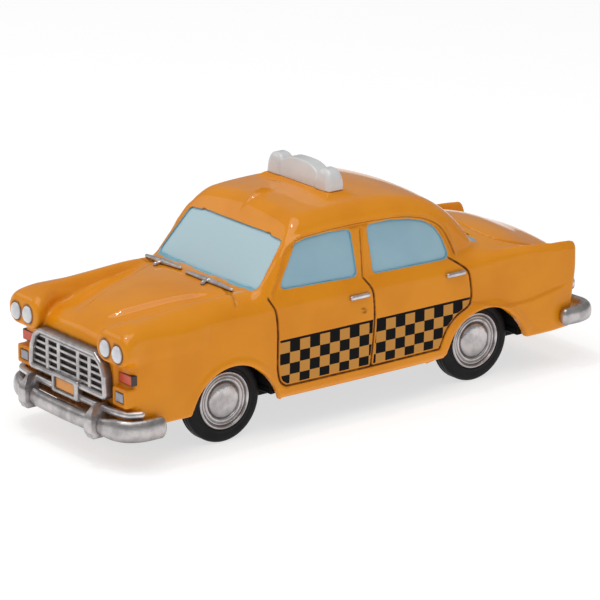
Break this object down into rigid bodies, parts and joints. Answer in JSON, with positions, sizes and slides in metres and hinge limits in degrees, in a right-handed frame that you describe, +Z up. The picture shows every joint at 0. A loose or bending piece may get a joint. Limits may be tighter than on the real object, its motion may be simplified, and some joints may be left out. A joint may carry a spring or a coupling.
{
  "type": "toy taxi cab",
  "caption": "Toy taxi cab with a hollow cast body, checkered doors, a roof sign and two free-rolling wheel sets.",
  "frame": {"origin": "on the ground under the middle of the toy's length and width", "axes": "+Z up, -Y towards the front of the cab, +X towards the cab's left side"},
  "size_m": [0.0434, 0.1238, 0.0503],
  "materials": {
    "body_paint": "gloss yellow-orange enamel on a zinc casting",
    "black_plastic": "matt black moulded plastic",
    "steel": "plain steel wire and screws",
    "pane_blue": "opaque pale blue, glossy",
    "silver_paint": "pewter silver paint, satin",
    "lamp_white": "gloss white",
    "lamp_orange": "gloss red-orange",
    "lamp_grey": "gloss pale blue-grey",
    "lamp_red": "gloss red",
    "sign_white": "gloss white",
    "tyre_black": "plain black rubber",
    "wheel_chrome": "plated silver cover"
  },
  "bodies": {
    "cab": {"body_shell": "body_paint", "base_plate": "black_plastic", "base_screws": "steel", "windscreen": "pane_blue", "rear_window": "pane_blue", "front_door_window_left": "pane_blue", "front_door_window_right": "pane_blue", "rear_door_window_left": "pane_blue", "rear_door_window_right": "pane_blue", "grille": "silver_paint", "front_bumper": "silver_paint", "front_bumper_rail": "silver_paint", "bumper_guards": "silver_paint", "front_plate": "silver_paint", "rear_bumper": "silver_paint", "rear_plate": "silver_paint", "headlamps": "lamp_white", "turn_lamps": "lamp_orange", "parking_lamps": "lamp_grey", "tail_lamps": "lamp_red", "wipers": "silver_paint", "door_handles": "silver_paint", "roof_sign": "sign_white"},
    "front_wheel_set": {"front_axle": "steel", "tyre_front_left": "tyre_black", "tyre_front_right": "tyre_black", "wheel_front_left": "wheel_chrome", "wheel_front_right": "wheel_chrome"},
    "rear_wheel_set": {"rear_axle": "steel", "tyre_rear_left": "tyre_black", "tyre_rear_right": "tyre_black", "wheel_rear_left": "wheel_chrome", "wheel_rear_right": "wheel_chrome"}
  },
  "joints": [
    {"name": "front_wheels_roll", "type": "hinge", "parent": "cab", "child": "front_wheel_set", "pos_m": [0, -0.032, 0.00875], "axis": [1, 0, 0], "continuous": true},
    {"name": "rear_wheels_roll", "type": "hinge", "parent": "cab", "child": "rear_wheel_set", "pos_m": [0, 0.032, 0.00875], "axis": [1, 0, 0], "continuous": true}
  ]
}
